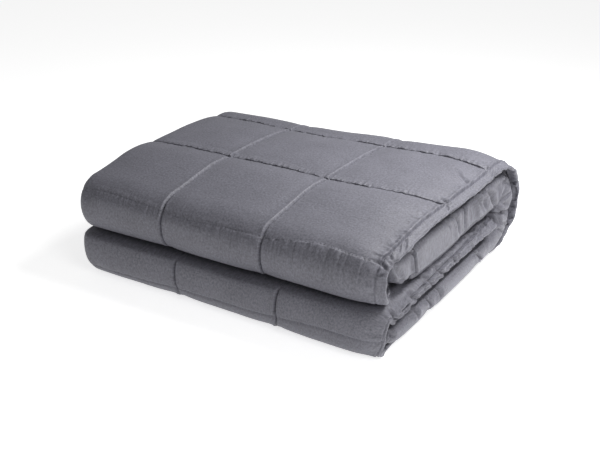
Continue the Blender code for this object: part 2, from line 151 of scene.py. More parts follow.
NOTCH_FROM, NOTCH_TO = -0.136, -0.154

# ------------------------------------------------------------------ the cloth
# Length of each part across the cloth and of each section along it, metres.
ACROSS_LENGTHS = np.array([0.3873, 0.036, 0.345, 0.042, 0.300])
ACROSS_MARKS = np.concatenate([[0.0], np.cumsum(ACROSS_LENGTHS)])


def section_lengths():
    lengths = []
    for k, (kind, y0, y1, z0, z1, side) in enumerate(STRIP_RUN):
        pitch = LAYER_HIGH if k < 4 else LAYER_LOW
        lengths.append(abs(y1 - y0) if kind == RUN else math.pi * (0.5 * abs(z1 - z0) + pitch))
    return np.array(lengths)


ALONG_LENGTHS = section_lengths()
ALONG_MARKS = np.concatenate([[0.0], np.cumsum(ALONG_LENGTHS)])


def to_length(place, lengths, marks):
    place = np.asarray(place, float)
    k = np.minimum(place.astype(int), len(lengths) - 1)
    return marks[k] + (place - k) * lengths[k]


def to_place(length, lengths, marks):
    length = np.asarray(length, float)
    k = np.clip(np.searchsorted(marks, length, side="right") - 1, 0, len(lengths) - 1)
    return k + (length - marks[k]) / lengths[k]


def u_of(across):
    return to_length(across, ACROSS_LENGTHS, ACROSS_MARKS)


def v_of(at):
    return to_length(at, ALONG_LENGTHS, ALONG_MARKS)


# Seams that run along the strip (metres across the cloth) and over it.
LONG_SEAMS = np.array([HEM, HEM + SQUARE, HEM + 2 * SQUARE, HEM + 3 * SQUARE,
                       u_of(2.28), u_of(2.66), u_of(3.04), u_of(4.215), u_of(4.59), u_of(4.962)])
OVER_SEAMS = v_of(np.array(CROSS_SEAMS))
# Where the same seams lie on the inner layers: their shorter way round the
# turns leaves cloth over, which moves the seams along.
INNER_SEAMS = v_of(np.array([0.171, 0.714, 2.182, 2.668, 3.210, 3.551, 4.160, 4.680, 4.985, 6.269, 6.815]))
U_END, V_END = ACROSS_MARKS[-1], ALONG_MARKS[-1]
# The same with the hems' stitches as the last squares' edges, and each line's fill.
ALONG_LINES = {+1: np.concatenate([[HEM], OVER_SEAMS, [V_END - HEM]]),
               -1: np.concatenate([[HEM], INNER_SEAMS, [V_END - HEM]])}
ALONG_FILLS = {+1: np.concatenate([[0.0], CROSS_FILLS, [0.0]]),
               -1: np.zeros(len(CROSS_FILLS) + 2)}
ACROSS_FILLS = np.zeros(len(LONG_SEAMS))


def ease(t):
    t = np.clip(t, 0.0, 1.0)
    return t * t * (3.0 - 2.0 * t)


def bell(t):
    return np.exp(-t * t)


def measures(at):
    rows = STRIP_SECTION
    k = np.clip(np.searchsorted(rows[:, 0], at, side="right") - 1, 0, len(rows) - 2)
    share = ease((at - rows[k, 0]) / (rows[k + 1, 0] - rows[k, 0]))[..., None]
    return rows[k, 1:] * (1.0 - share) + rows[k + 1, 1:] * share


def strip_frame(at):
    k = np.minimum(at.astype(int), len(STRIP_RUN) - 1)
    share = at - k
    kind, y0, y1, z0, z1, side = np.moveaxis(STRIP_RUN[k], -1, 0)
    turns = kind > 0.5
    bulge = np.where(y0 < 0, -1.0, 1.0)
    angle = np.pi * share
    fy = np.where(turns, bulge * np.sin(angle), 0.0)
    fz = np.where(turns, side * np.cos(angle), side)
    radius = 0.5 * np.abs(z1 - z0)
    y = np.where(turns, y0 + radius * fy, y0 + (y1 - y0) * share)
    z = np.where(turns, 0.5 * (z0 + z1) + radius * fz, z0)
    return y, z, fy, fz


def layer_point(m, across):
    pitch, puff, sag, left = m[..., PITCH], m[..., PUFF], m[..., SAG], m[..., TUCK]
    half = 0.5 * FULL_FILL * pitch
    tall = ease((puff - 0.5 * TALL_PUFF) / TALL_PUFF)
    depth = puff * (1.0 - (1.0 - PUFF_DEPTH) * tall)
    left_x = m[..., LEFT_X] + left + half
    right_x = m[..., FOLD_X] - depth - half
    part = np.minimum(across.astype(int), 4)
    share = across - part
    xs, hs = [], []
    # outer layer
    hem, reach = m[..., HEM_X], m[..., REACH]
    passed = (hem - left_x) * share - 4.0 * m[..., SLIDE] * share * (1.0 - share)
    bent = np.maximum(reach - passed, 0.0)
    angle = np.radians(m[..., BEND]) * bent / reach
    angle = np.where(np.abs(angle) < 1e-6, 1e-6, angle)
    xs.append(np.minimum(hem - passed, hem - reach) + bent * np.sin(angle) / angle)
    hs.append(pitch - bent * (1.0 - np.cos(angle)) / angle)
    # smooth end
    angle = np.pi * (0.5 + share)
    c, s = np.cos(angle), np.sin(angle)
    xs.append(left_x - left * np.abs(c) ** END_SQUARE)
    hs.append(pitch - left + left * np.sign(s) * np.abs(s) ** END_SQUARE)
    # middle layer
    x = left_x + (right_x - left_x) * share
    rise = (pitch - 2 * left) * (1.0 - ease((x - left_x) / PUFF_REACH))
    xs.append(x)
    hs.append(rise - sag * ease(1.0 - (right_x - x) / PUFF_REACH))
    # inner fold
    angle = np.pi * (0.5 - share)
    square = 1.0 - (1.0 - TALL_SQUARE) * tall
    c, s = np.cos(angle), np.sin(angle)
    xs.append(right_x + depth * np.abs(c) ** square)
    hs.append(-sag - puff + puff * np.sign(s) * np.abs(s) ** square)
    # inner layer
    x = right_x + (m[..., INNER_X] - right_x) * share
    xs.append(x)
    hs.append(-pitch - (sag + 2 * puff - pitch) * ease(1.0 - (right_x - x) / PUFF_REACH))
    return np.choose(part, xs), np.choose(part, hs)


def layer_facing(m, across):
    part = np.minimum(across.astype(int), 4)
    a = np.maximum(across - 2e-3, part)
    b = np.minimum(across + 2e-3, part + 1 - 1e-9)
    (x0, h0), (x1, h1) = layer_point(m, a), layer_point(m, b)
    dx, dh = x1 - x0, h1 - h0
    size = np.hypot(dx, dh)
    return dh / size, -dx / size


def pack_shape(x, y, z):
    lower = z < Z_CREVICE
    sink = FRONT_SINK * ease((y - FRONT_SINK_FROM) / (FRONT_SINK_TO - FRONT_SINK_FROM))
    z = np.where(lower, z, Z_CREVICE + (z - Z_CREVICE) * (1.0 - sink))
    middle = NOTCH_Z - NOTCH_DROP * ease((0.13 - x) / 0.12)
    gap = z - middle
    press = NOTCH_CLOSE * ease((NOTCH_FROM - y) / (NOTCH_FROM - NOTCH_TO))
    z = middle + gap * (1.0 - press * bell(gap / NOTCH_REACH))
    y = y + SLOT_DEPTH * press * bell((z - middle + SLOT_DOWN) / SLOT_HALF) * ease((0.175 - x) / 0.04)
    lift = 0.0
    for sx, sy, radius, rise in SWELLS:
        lift = lift + rise * np.exp(-((x - sx) ** 2 + (y - sy) ** 2) / radius ** 2)
    z = z + lift * ease(z / 0.13)
    y = y - BACK_LEAN * ease((0.06 - x) / 0.26) * ease((y - 0.04) / 0.12)
    lean = FRONT_LEAN * ease((x + 0.02) / 0.14) * ease((-0.10 - y) / 0.05)
    y = np.where(lower, y - lean, y)
    return x - MIDDLE_X, y - MIDDLE_Y, z


# ------------------------------------------------------------------ noise
def grain(x, y, seed):
    """Smooth value noise, -1 to 1, the same each time."""
    table = np.random.RandomState(seed).rand(128, 128) * 2.0 - 1.0
    xi, yi = np.floor(x).astype(int), np.floor(y).astype(int)
    fx, fy = ease(x - xi), ease(y - yi)
    a, b = table[xi % 128, yi % 128], table[(xi + 1) % 128, yi % 128]
    c, d = table[xi % 128, (yi + 1) % 128], table[(xi + 1) % 128, (yi + 1) % 128]
    return (a * (1 - fx) + b * fx) * (1 - fy) + (c * (1 - fx) + d * fx) * fy


# ------------------------------------------------------------------ seams bow
# Where the sewn lines are pulled out of true.  A row moves the cloth round
# (u, v) by (du, dv) metres, fading out over (ru, rv).
PULLS = (
    # face, u,     v(at),  du,      dv,     ru,    rv
    (+1, 0.012, 1.694,  0.0000,  0.0052, 0.035, 0.030),     # front seam rises to the hem
    (+1, 0.078, 1.694,  0.0000,  0.0085, 0.042, 0.030),
    (+1, 0.245, 1.694,  0.0000, -0.0028, 0.035, 0.025),
    (+1, 0.360, 1.694,  0.0000,  0.0034, 0.040, 0.025),
    (+1, 0.012, 2.419,  0.0000,  0.0125, 0.055, 0.035),     # middle seam bows back at the hem
    (+1, 0.215, 2.949,  0.0000, -0.0050, 0.045, 0.030),
    (+1, 0.012, 2.949,  0.0000, -0.0040, 0.040, 0.030),
    (+1, 0.230, 5.280,  0.0000,  0.0062, 0.110, 0.032),     # low front seam, higher to the right
    (+1, 0.075, 5.280,  0.0000,  0.0128, 0.085, 0.040),
    (+1, 0.020, 5.280,  0.0000,  0.0040, 0.030, 0.030),
    (+1, 0.011, 2.900, -0.0030,  0.0000, 0.016, 0.070),     # hem stitches near the edge, at the back
    (+1, 0.0137, 2.260, -0.0034, 0.0000, 0.009, 0.130),
    (+1, 0.0137, 6.450, -0.0042, 0.0000, 0.009, 0.160),     # and along the lower hem
    (+1, 0.0137, 5.450, -0.0066, 0.0000, 0.010, 0.055),
)


def pulled(across, at, face):
    u, v = u_of(across), v_of(at)
    du, dv = np.zeros_like(u), np.zeros_like(v)
    for side, pu, pv, mu, mv, ru, rv in PULLS:
        if side != face:
            continue
        weight = bell((u - pu) / ru) * bell((v - v_of(pv)) / rv)
        du += mu * weight
        dv += mv * weight
    keep = ease(u / 0.008)                              # the cut edge stays
    u = np.clip(u + du * keep, 0.0, U_END - 1e-9)
    v = np.clip(v + dv, 0.0, V_END - 1e-9)
    return to_place(u, ACROSS_LENGTHS, ACROSS_MARKS), to_place(v, ALONG_LENGTHS, ALONG_MARKS)


# ------------------------------------------------------------------ creases
# Troughs (minus) and ridges (plus), each a short line on a face of
# the cloth: its half width, its height and the places (across, at) it runs through.
CREASES = (
    # tall inner fold, from the front back
    (-1, 0.0014, -0.0062, ((3.22, 2.142), (3.37, 2.174), (3.50, 2.184), (3.64, 2.197), (3.72, 2.205))),
    (-1, 0.0029, -0.0026, ((3.38, 2.005), (3.51, 2.029), (3.62, 2.075))),
    (-1, 0.0021, -0.0023, ((3.20, 2.462), (3.29, 2.489), (3.40, 2.510))),
    (-1, 0.0021, -0.0046, ((3.16, 2.540), (3.31, 2.567), (3.44, 2.591), (3.52, 2.608))),
    (-1, 0.0026, -0.0026, ((3.16, 2.668), (3.39, 2.664), (3.58, 2.684))),
    (-1, 0.0060, -0.0016, ((3.20, 2.715), (3.40, 2.715), (3.55, 2.735))),
    (-1, 0.0023, +0.0030, ((3.18, 2.745), (3.40, 2.768), (3.51, 2.791), (3.62, 2.803))),
    (-1, 0.0020, -0.0052, ((3.12, 2.757), (3.21, 2.773), (3.32, 2.794), (3.46, 2.831), (3.52, 2.860))),
    (-1, 0.0018, -0.0023, ((3.12, 2.825), (3.21, 2.837), (3.31, 2.853))),
    (-1, 0.0020, -0.0046, ((3.34, 2.838), (3.48, 2.875), (3.54, 2.888))),
    (-1, 0.0020, -0.0058, ((3.30, 2.893), (3.41, 2.920), (3.53, 2.958), (3.67, 2.992))),
    (-1, 0.0033, -0.0023, ((3.38, 2.960), (3.47, 3.080))),
    (-1, 0.0021, -0.0026, ((3.38, 3.335), (3.47, 3.340), (3.56, 3.262))),
    (-1, 0.0090, -0.0066, ((3.00, 1.980), (3.12, 2.070), (3.20, 2.150))),     # in the shade of the upper hem
    (-1, 0.0060, -0.0045, ((3.02, 2.960), (3.12, 3.060), (3.20, 3.160))),
    (-1, 0.0050, -0.0040, ((3.72, 2.700), (3.74, 2.860))),
    (-1, 0.0050, -0.0040, ((3.62, 3.140), (3.60, 3.300))),
    (-1, 0.0034, -0.0058, ((3.10, 2.120), (3.09, 2.500), (3.10, 3.100))),     # under the upper hem
    (-1, 0.0022, -0.0040, ((3.74, 2.060), (3.74, 2.450), (3.72, 2.700), (3.70, 2.900), (3.74, 3.060))),
    (-1, 0.0014, -0.0026, ((3.90, 4.050), (3.90, 4.400), (3.90, 4.800))),     # under the lower hem
    # lower strip's top and hem
    (+1, 0.0024, -0.0030, ((0.074, 6.050), (0.066, 6.250), (0.064, 6.520), (0.064, 6.700), (0.060, 6.860))),
    (+1, 0.0019, -0.0040, ((0.062, 6.272), (0.047, 6.292), (0.028, 6.316), (0.004, 6.338))),
    (+1, 0.0050, -0.0015, ((0.062, 6.330), (0.045, 6.345))),
    (+1, 0.0021, -0.0058, ((0.046, 6.390), (0.034, 6.402), (0.024, 6.418), (0.012, 6.436), (0.003, 6.462))),
    (+1, 0.0020, -0.0050, ((0.044, 6.528), (0.036, 6.540), (0.020, 6.557), (0.010, 6.560))),
    (+1, 0.0018, -0.0034, ((0.034, 6.586), (0.022, 6.592), (0.006, 6.600))),
    (+1, 0.0022, -0.0042, ((0.052, 6.725), (0.044, 6.742), (0.036, 6.772))),
    (+1, 0.0020, -0.0052, ((0.034, 6.775), (0.026, 6.752), (0.016, 6.734), (0.003, 6.733))),
    (+1, 0.0021, -0.0050, ((0.052, 6.825), (0.040, 6.838), (0.030, 6.844), (0.015, 6.850))),
    (+1, 0.0020, -0.0050, ((0.046, 6.923), (0.034, 6.914), (0.022, 6.908), (0.010, 6.905))),
    (+1, 0.0021, -0.0048, ((0.052, 6.132), (0.040, 6.150), (0.026, 6.176), (0.010, 6.196), (0.002, 6.204))),
    (+1, 0.0031, -0.0040, ((0.060, 5.900), (0.049, 5.927), (0.031, 5.987), (0.016, 6.030), (0.004, 6.050))),
    # bottom strip's inner fold
    (-1, 0.0017, -0.0075, ((3.92, 4.712), (3.82, 4.706), (3.67, 4.697), (3.43, 4.655), (3.30, 4.640))),
    (-1, 0.0023, -0.0046, ((3.90, 4.606), (3.61, 4.589), (3.36, 4.578))),
    (-1, 0.0021, +0.0016, ((3.70, 4.560), (3.45, 4.556))),
    (-1, 0.0023, -0.0042, ((3.88, 4.808), (3.61, 4.793), (3.46, 4.790))),
    (-1, 0.0019, -0.0070, ((3.92, 4.200), (3.70, 4.180), (3.43, 4.118), (3.36, 4.100))),
    (-1, 0.0030, -0.0009, ((3.78, 4.061), (3.53, 4.048))),
    (-1, 0.0023, -0.0030, ((3.70, 3.840), (3.56, 3.797), (3.40, 3.760))),
    (-1, 0.0023, -0.0037, ((3.80, 5.000), (3.74, 4.987), (3.60, 4.978), (3.45, 4.965))),
    # inside the back wrap
    (-1, 0.0023, -0.0037, ((3.42, 3.090), (3.38, 3.139), (3.31, 3.297))),
    (-1, 0.0029, -0.0040, ((3.64, 3.240), (3.53, 3.420), (3.45, 3.500))),
    (-1, 0.0021, -0.0040, ((3.80, 3.200), (3.75, 3.300), (3.70, 3.450), (3.62, 3.584))),
    (-1, 0.0021, -0.0023, ((3.70, 3.440), (3.58, 3.530), (3.46, 3.615))),
    (-1, 0.0026, -0.0023, ((3.78, 3.590), (3.72, 3.700), (3.65, 3.745))),
    (-1, 0.0021, -0.0033, ((3.40, 3.715), (3.50, 3.696))),
    (-1, 0.0021, -0.0028, ((0.030, 3.690), (0.008, 3.681), (0.001, 3.677))),
    (-1, 0.0018, -0.0023, ((0.022, 3.640), (0.012, 3.636), (0.003, 3.622))),
    (-1, 0.0021, -0.0032, ((0.016, 3.500), (0.008, 3.501), (0.001, 3.504))),
    (-1, 0.0029, -0.0028, ((0.010, 3.420), (0.004, 3.478))),
    (-1, 0.0023, -0.0032, ((0.024, 3.385), (0.012, 3.392), (0.010, 3.440), (0.009, 3.500))),
    (-1, 0.0018, -0.0028, ((0.030, 3.368), (0.019, 3.365), (0.001, 3.347))),
    # upper hem: the puffed corner, then the gathers back along it
    (+1, 0.0021, -0.0040, ((0.045, 1.712), (0.033, 1.700), (0.021, 1.681), (0.013, 1.644))),
    (+1, 0.0030, +0.0017, ((0.030, 1.660), (0.018, 1.630))),
    (+1, 0.0017, -0.0030, ((0.030, 1.573), (0.022, 1.577), (0.013, 1.596))),
    (+1, 0.0016, -0.0022, ((0.042, 1.914), (0.028, 1.868), (0.014, 1.815))),
    (+1, 0.0016, -0.0018, ((0.035, 2.051), (0.017, 2.006))),
    (+1, 0.0016, -0.0024, ((0.046, 2.138), (0.036, 2.110), (0.020, 2.065), (0.006, 2.030))),
    (+1, 0.0017, -0.0026, ((0.042, 2.160), (0.028, 2.124))),
    (+1, 0.0026, +0.0024, ((0.041, 2.152), (0.036, 2.138))),
    (+1, 0.0018, -0.0023, ((0.052, 2.064), (0.042, 2.052))),
    (+1, 0.0017, -0.0030, ((0.060, 2.470), (0.041, 2.440), (0.020, 2.410), (0.003, 2.390))),
    (+1, 0.0018, -0.0026, ((0.052, 2.968), (0.044, 2.956), (0.028, 2.930))),
    (+1, 0.0017, -0.0026, ((0.026, 2.972), (0.019, 2.953), (0.004, 2.896))),
    (+1, 0.0017, -0.0019, ((0.030, 3.000), (0.013, 2.978))),
    (+1, 0.0023, -0.0021, ((0.110, 2.835), (0.087, 2.796), (0.064, 2.755), (0.041, 2.713))),
)


def creased(u, v, face):
    total = np.zeros_like(u)
    for side, width, height, places in CREASES:
        if side != face:
            continue
        us = u_of(np.array([place[0] for place in places]))
        vs = v_of(np.array([place[1] for place in places]))
        far = 6.0 * width
        close = ((u > us.min() - far) & (u < us.max() + far) & (v > vs.min() - far) & (v < vs.max() + far))
        if not close.any():
            continue
        pu, pv = u[close], v[close]
        runs = np.hypot(np.diff(us), np.diff(vs))
        passed = np.concatenate([[0.0], np.cumsum(runs)])
        gap, along = np.full_like(pu, 1e9), np.zeros_like(pu)
        for k in range(len(runs)):
            ru, rv = us[k + 1] - us[k], vs[k + 1] - vs[k]
            near = np.clip(((pu - us[k]) * ru + (pv - vs[k]) * rv) / runs[k] ** 2, 0.0, 1.0)
            away = np.hypot(pu - us[k] - near * ru, pv - vs[k] - near * rv)
            closer = away < gap
            gap = np.where(closer, away, gap)
            along = np.where(closer, (passed[k] + near * runs[k]) / passed[-1], along)
        taper = 0.20 + 0.80 * np.sin(np.pi * along) ** 0.6
        sharp = 0.45 * bell(gap / width) + 0.55 * np.clip(1.0 - gap / (1.1 * width), 0.0, 1.0)
        shape = sharp - 0.36 * bell((gap - 2.2 * width) / (1.2 * width))
        total[close] += height * taper * shape
    return total


# ------------------------------------------------------------------ the surface
def nearest(values, lines):
    """Signed distance to the nearest line, and that line's number."""
    gaps = values[..., None] - lines
    k = np.argmin(np.abs(gaps), axis=-1)
    return np.take_along_axis(gaps, k[..., None], -1)[..., 0], k


def crown(values, lines, fills):
    """Fill across one square: full over its middle, and what is left on its seams."""
    k = np.clip(np.searchsorted(lines, values, side="right") - 1, 0, len(lines) - 2)
    share = np.clip((values - lines[k]) / (lines[k + 1] - lines[k]), 0.0, 1.0)
    base = fills[k] + (fills[k + 1] - fills[k]) * share
    full = base + (1.0 - base) * (1.0 - np.abs(2.0 * share - 1.0) ** 4.2) ** 0.66
    inside = (values >= lines[0]) & (values <= lines[-1])
    return np.where(inside, full, 0.0)


def taut(v):
    """1 on the front turns, where the hem is stretched smooth."""
    upper = ease((v - v_of(1.05)) / 0.010) * (1.0 - ease((v - v_of(1.56)) / 0.020))
    lower = ease((v - v_of(4.80)) / 0.010) * (1.0 - ease((v - v_of(5.86)) / 0.020))
    return upper, lower


def detail(u, v, face):
    """Height of the small relief over the plain pocket, along the cloth's face."""
    lines = ALONG_LINES[face][1:-1]
    du, ku = nearest(u, LONG_SEAMS)
    dv, kv = nearest(v, lines)
    au, av = np.abs(du), np.abs(dv)
    slack = 1.0 - 1.25 * ALONG_FILLS[face][1:-1][kv]    # a stretched seam gathers less
    if face > 0:
        slack = slack * np.where(kv == 2, 1.0 - 0.9 * ease((0.150 - u) / 0.010), 1.0)
    total = np.zeros_like(u)
    # Soft unevenness of the filling.
    calm = (1.0 - bell(au / 0.020)) * (1.0 - bell(av / 0.020))
    total += calm * (0.0010 * grain(u / 0.060 + 3, v / 0.060 + 9, 11 + face)
                     + 0.0004 * grain(u / 0.026, v / 0.026, 17 + face))
    # The sewn line pulls a narrow groove, with a low lip on its left.
    sewn = 1.0 - 0.75 * sum(taut(v)) * bell((u - HEM) / 0.012)
    total -= 0.0025 * sewn * bell(au / 0.0010) + 0.0015 * slack * bell(av / 0.0010)
    total += sewn * (0.0015 * bell((du - 0.0029) / 0.0015) + 0.0005 * bell((du - 0.0060) / 0.0028)
              + 0.0009 * bell((du + 0.0024) / 0.0012)) * (1.0 - bell(av / 0.005))
    # Puckers gathered by the stitches: short, and deeper behind the cross seams.
    length = 0.0075 + 0.0035 * grain(v / 0.011, ku * 3.1, 31 + face)
    ruck = grain(v / 0.0034, ku * 7.3 + np.sign(du) * 2.1 + au / 0.030, 23 + face)
    total += 0.00030 * ruck * bell(au / length) * (1.0 - bell(au / 0.0011))
    length = 0.0085 + 0.0045 * grain(u / 0.012, kv * 3.7, 37 + face)
    ruck = (0.7 * grain(u / 0.0030, kv * 5.7 + np.sign(dv) * 3.3 + av / 0.030, 29 + face)
            + 1.1 * grain(u / 0.0053, kv * 2.9 + np.sign(dv) * 1.7 + av / 0.040, 33 + face))
    side = np.where(dv > 0, 1.0, 0.40)
    total += 0.00105 * side * slack * ruck * bell(av / length) * (1.0 - bell(av / 0.0011))
    return total, au, av


def surface(across, at, face, lift=0.0, rim=True):
    """Points of one face of the cloth, and the way it looks there."""
    across, at = np.broadcast_arrays(np.asarray(across, float), np.asarray(at, float))
    u, v = u_of(across), v_of(at)
    pu, pt = pulled(across, at, face)
    m = measures(pt)
    x, h = layer_point(m, pu)
    fx, fh = layer_facing(m, pu)
    cu, cv = crown(u, LONG_SEAMS, ACROSS_FILLS), crown(v, ALONG_LINES[face], ALONG_FILLS[face])
    if face > 0:                                        # the front seam is stretched nearly smooth
        smooth = ease((0.190 - u) / 0.03) * bell((v - OVER_SEAMS[2]) / 0.016)
        cv = cv + (0.96 - cv) * 0.88 * smooth
    fill = SEAM_FILL + (FULL_FILL - SEAM_FILL) * cu * cv
    inside_turn = ((across > 1.0) & (across < 2.0)) | ((across > 3.0) & (across < 4.0))
    turn_fill = SEAM_FILL + (TURN_FILL - SEAM_FILL) * np.maximum(cv, 0.0)
    blend = np.where(inside_turn, 0.75, 0.0)
    fill = fill * (1 - blend) + turn_fill * blend
    # The hem: cloth folded under and sewn flat beyond the outer stitches.
    for edge in (u, U_END - u, v, V_END - v):
        flange = ease((HEM - edge) / 0.0035)
        fill = fill * (1 - flange) + EDGE_FILL * flange
    relief, au, av = detail(u, v, face)
    relief = relief + nose_wrinkles(u, v, face) + hem_puckers(u, v, face) + creased(u, v, face)
    fill = fill + np.maximum(0.62 - fill, 0.0) * 0.85 * sum(taut(v)) * bell((u - HEM) / 0.012)
    half = 0.5 * fill * m[..., PITCH]
    # Grooves sink past the layer's middle on the side that shows, over a flat
    # other side; near the edges both stay apart.
    edge = np.minimum(np.minimum(u, U_END - u), np.minimum(v, V_END - v))
    shows = across < 1.6 if face > 0 else across > 2.6
    floor = np.where(shows, -0.0010, np.minimum(half, 0.0011))
    floor = 0.0006 + (floor - 0.0006) * ease((edge - HEM - 0.0005) / 0.004)
    reach = half + np.maximum(relief, floor - half) + lift
    if rim:
        round_off = np.sqrt(np.clip(1.0 - (1.0 - np.clip(edge / 0.0022, 0, 1)) ** 2, 0.0, 1.0))
        reach = reach * round_off
    reach = reach * face
    x, h = x + fx * reach, h + fh * reach
    wave = 0.0009 * grain(v / 0.0075, v * 0, 71) + 0.0008 * grain(v / 0.023, v * 0, 73)
    x = x + wave * (1.0 - 0.85 * taut(v)[1]) * ease((0.018 - u) / 0.018)
    y0, z0, fy, fz = strip_frame(pt)
    x, y, z = pack_shape(x, y0 + fy * h, z0 + fz * h)
    return x, y, np.maximum(z, 0.0002)


def nose_wrinkles(u, v, face):
    """Fine wrinkles down the front turns, where the cloth is squeezed."""
    if face < 0:
        return 0.0
    down = OVER_SEAMS[2] - v
    reach = 0.020 + 0.012 * grain(u / 0.011, u * 0, 41)
    fade = ease((down + 0.001) / 0.003) * (1.0 - ease((down - 0.004) / np.maximum(reach, 0.006)))
    right = 0.40 + 0.60 * ease((0.17 - u) / 0.05)
    ridges = grain(u / 0.0028, v / 0.030, 43) + 0.7 * grain(u / 0.0056, v / 0.050, 47)
    inside = (u > HEM + 0.002) & (u < 0.40)
    total = np.where(inside, 0.00105 * right * ridges * fade, 0.0)
    # Lower turn: shorter and fainter.
    up = v - OVER_SEAMS[8]
    fade = ease((up + 0.002) / 0.004) * (1.0 - ease((up - 0.003) / 0.016))
    return total + np.where(inside, 0.00030 * grain(u / 0.0036, v / 0.03, 53) * fade, 0.0)


def hem_puckers(u, v, face):
    """Small gathers on the hem and just inside its stitches."""
    total = 0.0
    before = 1.0 - 0.75 * sum(taut(v))
    for edge, seed in ((u, 61), (U_END - u, 67)):
        beyond = before * ease((HEM - edge) / 0.003)
        gathers = grain(v / 0.0036, edge / 0.020, seed) + 0.7 * grain(v / 0.0090, edge / 0.02, seed + 1)
        total = total + 0.00062 * gathers * beyond
        # The turned-under cloth stands up on both sides of the stitches.
        total = total + 0.0012 * before * (bell((edge - HEM + 0.0020) / 0.0010) + bell((edge - HEM - 0.0020) / 0.0010))
        low = ease((v - v_of(5.9)) / 0.02)
        total = total + 0.0010 * low * bell((edge - 0.0030) / 0.0018) - 0.0006 * low * bell((edge - 0.0072) / 0.0020)
        length = 0.013 + 0.006 * grain(v / 0.009, edge * 0, seed + 3)
        inside = (edge - HEM) / length
        rays = (grain(v / 0.0030 + 5, edge / 0.022, seed + 2)
                + 0.8 * grain(v / 0.0058, edge / 0.030, seed + 4))
        total = total + 0.00140 * rays * np.where(edge > HEM, ease(inside / 0.10) * (1.0 - ease(inside)), 0.0)
    return total


# ------------------------------------------------------------------ stations
def stations(start, end, step, features=(), offsets=(0.0006, 0.0012, 0.0019, 0.0028, 0.0040, 0.0056)):
    """Places from start to end: step apart, and closer round the features."""
    fixed = [start, end] + [f for f in features if start <= f <= end]
    extra = [f + s * o for f in features for o in offsets for s in (-1, 1)
             if start < f + s * o < end]
    count = max(int(round((end - start) / step)), 1)
    even = list(start + (end - start) * np.arange(1, count) / count)
    chosen = list(fixed)
    for group, room in ((extra, 0.00045), (even, min(step, 0.0032) * 0.62)):
        for value in group:
            if min(abs(value - c) for c in chosen) > room:
                chosen.append(value)
    return sorted(set(round(c, 7) for c in chosen))


def joined(*groups):
    out = []
    for group in groups:
        for value in group:
            if not out or value > out[-1] + 1e-5:
                out.append(value)
    return np.array(out)


HEM_STEPS = (0.0002, 0.0006, 0.0013, 0.0022, 0.0036, 0.0052, 0.0068, 0.0084)


SPLIT = v_of(4.40)                                      # underneath, out of sight


def along_places(face):
    mark = ALONG_MARKS
    seams = list(ALONG_LINES[face][1:-1])
    few = (0.0014, 0.0040)
    outer = face > 0
    values = joined(
        [0.0] + list(HEM_STEPS[1:4]),
        stations(HEM * 0.5, v_of(0.80), 0.0120, seams[:2], few),
        stations(v_of(0.80), mark[1], 0.0040),
        stations(mark[1], v_of(1.95), 0.0014 if outer else 0.0022, seams),
        stations(v_of(1.95), v_of(3.25), 0.0015 if outer else 0.0011, seams),
        stations(v_of(3.25), mark[4], 0.0026 if outer else 0.0014, seams),
        stations(mark[4], SPLIT, 0.0060 if outer else 0.0018, seams, few),
        stations(SPLIT, v_of(4.88), 0.0060 if outer else 0.0018, seams, few),
        stations(v_of(4.88), v_of(6.03), 0.0015, seams),
        stations(v_of(6.03), V_END - HEM * 0.5, 0.0013 if outer else 0.0060, seams, few),
        [V_END - s for s in reversed(HEM_STEPS[1:4])] + [V_END],
    )
    return to_place(np.clip(values, 0.0, V_END - 1e-9), ALONG_LENGTHS, ALONG_MARKS), values


def face_places():
    mark = ACROSS_MARKS
    seams = list(LONG_SEAMS)
    values = joined(
        [0.0] + list(HEM_STEPS),
        stations(0.0096, 0.034, 0.0016, seams[:1]),
        stations(0.034, mark[1], 0.0025, seams[1:3]),
        stations(mark[1], mark[2], 0.0026, [seams[3]], (0.0012, 0.0030)),
        stations(mark[2], mark[3], 0.030),
        stations(mark[3], mark[4], 0.006),
        stations(mark[4], U_END - HEM, 0.030),
        [U_END - 0.0022, U_END],
    )
    return to_place(np.clip(values, 0.0, U_END - 1e-9), ACROSS_LENGTHS, ACROSS_MARKS), values


def back_places():
    mark = ACROSS_MARKS
    seams = list(LONG_SEAMS)
    values = joined(
        [0.0] + list(HEM_STEPS),
        stations(0.0096, 0.050, 0.0035, seams[:1], (0.0014, 0.0036)),
        stations(0.050, mark[1], 0.036),
        stations(mark[1], mark[2], 0.009),
        stations(mark[2], mark[3] - 0.060, 0.040),
        stations(mark[3] - 0.060, mark[3], 0.0036, seams, (0.0014, 0.0034)),
        stations(mark[3], mark[4], 0.0014, seams, (0.0012,)),
        stations(mark[4], mark[4] + 0.055, 0.0034, seams, (0.0014, 0.0034)),
        stations(mark[4] + 0.055, U_END - HEM, 0.030),
        [U_END - 0.0064, U_END - 0.0022, U_END - 0.0006, U_END],
    )
    return to_place(np.clip(values, 0.0, U_END - 1e-9), ACROSS_LENGTHS, ACROSS_MARKS), values


# ------------------------------------------------------------------ meshes
def mesh_object(name, points, faces, uv=None):
    mesh = bpy.data.meshes.new(name)
    mesh.vertices.add(len(points))
    mesh.vertices.foreach_set("co", np.ascontiguousarray(points, np.float32).ravel())
    sides = faces.shape[1]
    mesh.loops.add(faces.size)
    mesh.loops.foreach_set("vertex_index", np.ascontiguousarray(faces, np.int32).ravel())
    mesh.polygons.add(len(faces))
    mesh.polygons.foreach_set("loop_start", np.arange(0, faces.size, sides, dtype=np.int32))
    mesh.update(calc_edges=True)
    if uv is not None:
        layer = mesh.uv_layers.new(name="cloth")
        layer.data.foreach_set("uv", np.ascontiguousarray(uv[faces.ravel()], np.float32).ravel())
    mesh.validate()
    mesh.shade_smooth()
    thing = bpy.data.objects.new(name, mesh)
    bpy.context.scene.collection.objects.link(thing)
    return thing


